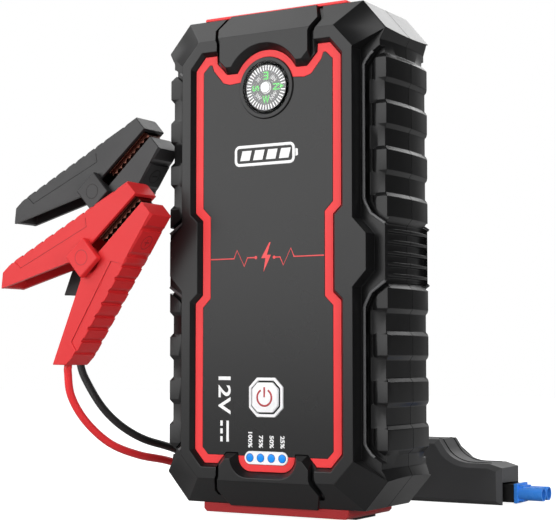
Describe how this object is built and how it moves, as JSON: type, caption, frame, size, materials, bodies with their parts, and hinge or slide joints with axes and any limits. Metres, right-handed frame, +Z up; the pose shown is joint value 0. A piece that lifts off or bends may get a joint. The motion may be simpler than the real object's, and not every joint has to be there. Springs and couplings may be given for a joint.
{
  "type": "jump starter",
  "caption": "Ribbed upright jump starter pack with a compass, power button and charge gauge, and its jump leads with spring clamps, control box and plug.",
  "frame": {"origin": "centre of the pack's footprint, on the surface its feet stand on", "axes": "X is the width, Y the depth with the face towards -Y, Z points up"},
  "size_m": [0.1958, 0.1396, 0.1958],
  "materials": {
    "case_black": "fine spark texture, charcoal",
    "panel_black": "smooth satin",
    "trim_red": "satin red",
    "rubber_black": "soft matt",
    "plastic_black": "satin",
    "plastic_white": "satin",
    "clear": "clear polished",
    "steel": "plain",
    "brass": "plated",
    "copper": "copper plated, stamped",
    "lamp_blue": "translucent",
    "board_green": "solder resist",
    "cell_foil": "foil pouch",
    "clamp_red": "moulded",
    "clamp_black": "moulded",
    "lead_red": "smooth",
    "plug_blue": "moulded"
  },
  "bodies": {
    "pack": {"front_shell": "case_black", "rear_shell": "case_black", "front_panel": "panel_black", "front_trim": "trim_red", "rear_panel": "panel_black", "top_plate": "trim_red", "bottom_plate": "trim_red", "feet": "rubber_black", "lead_socket": "plug_blue", "usb_a_port": "steel", "usb_c_port": "steel", "torch_lens": "clear", "torch_reflector": "steel", "torch_lamp": "plastic_white", "compass_seat": "plastic_black", "compass_pivot": "brass", "compass_dome": "clear", "button_ring": "plastic_white", "button_switch": "plastic_black", "gauge_window": "plastic_white", "gauge_lamps": "lamp_blue", "main_board": "board_green", "battery_cells": "cell_foil", "battery_tray": "plastic_black", "cell_tabs": "copper", "case_screws": "steel"},
    "power_button": {"power_button": "plastic_white"},
    "compass_card": {"compass_card": "plastic_black", "compass_magnet": "steel"},
    "port_cover": {"port_cover": "rubber_black"},
    "lead_set": {"box_shell": "plastic_black", "box_base": "plastic_black", "box_board": "board_green", "box_screws": "steel", "box_glands": "rubber_black", "plug_collar": "plastic_black", "plug_body": "plug_blue", "plug_contacts": "brass", "red_lead": "lead_red", "black_lead": "rubber_black", "red_cable_lever": "clamp_red", "red_cable_jaw": "copper", "red_pivot_pin": "steel", "red_clamp_caps": "clamp_red", "red_clamp_spring": "steel", "black_cable_lever": "clamp_black", "black_cable_jaw": "copper", "black_pivot_pin": "steel", "black_clamp_caps": "clamp_black", "black_clamp_spring": "steel"},
    "red_clamp_lever": {"red_free_lever": "clamp_red", "red_free_jaw": "copper"},
    "black_clamp_lever": {"black_free_lever": "clamp_black", "black_free_jaw": "copper"}
  },
  "joints": [
    {"name": "power_button_press", "type": "slide", "parent": "pack", "child": "power_button", "axis": [0, 1, 0], "range_m": [0, 0.0008], "stiffness_N_per_m": 800, "springref_m": -0.001},
    {"name": "compass_card_turn", "type": "hinge", "parent": "pack", "child": "compass_card", "pos_m": [0, -0.0238, 0.1643], "axis": [0, 1, 0], "continuous": true},
    {"name": "port_cover_open", "type": "hinge", "parent": "pack", "child": "port_cover", "pos_m": [0.0095, 0.0117, 0.1942], "axis": [-1, 0, 0], "range_deg": [0, 110]},
    {"name": "lead_set_slide", "type": "slide", "parent": "pack", "child": "lead_set", "axis": [-1, 0, 0], "range_m": [0, 0.12]},
    {"name": "red_clamp_open", "type": "hinge", "parent": "lead_set", "child": "red_clamp_lever", "pos_m": [-0.0706, -0.0375, 0.1], "axis": [0, -1, 0], "range_deg": [0, 30], "stiffness_Nm_per_rad": 0.6, "springref_deg": -28.65, "deforming": ["red_clamp_spring"]},
    {"name": "black_clamp_open", "type": "hinge", "parent": "lead_set", "child": "black_clamp_lever", "pos_m": [-0.0801, -0.019, 0.1285], "axis": [0, -1, 0], "range_deg": [0, 30], "stiffness_Nm_per_rad": 0.6, "springref_deg": -28.65, "deforming": ["black_clamp_spring"]}
  ]
}
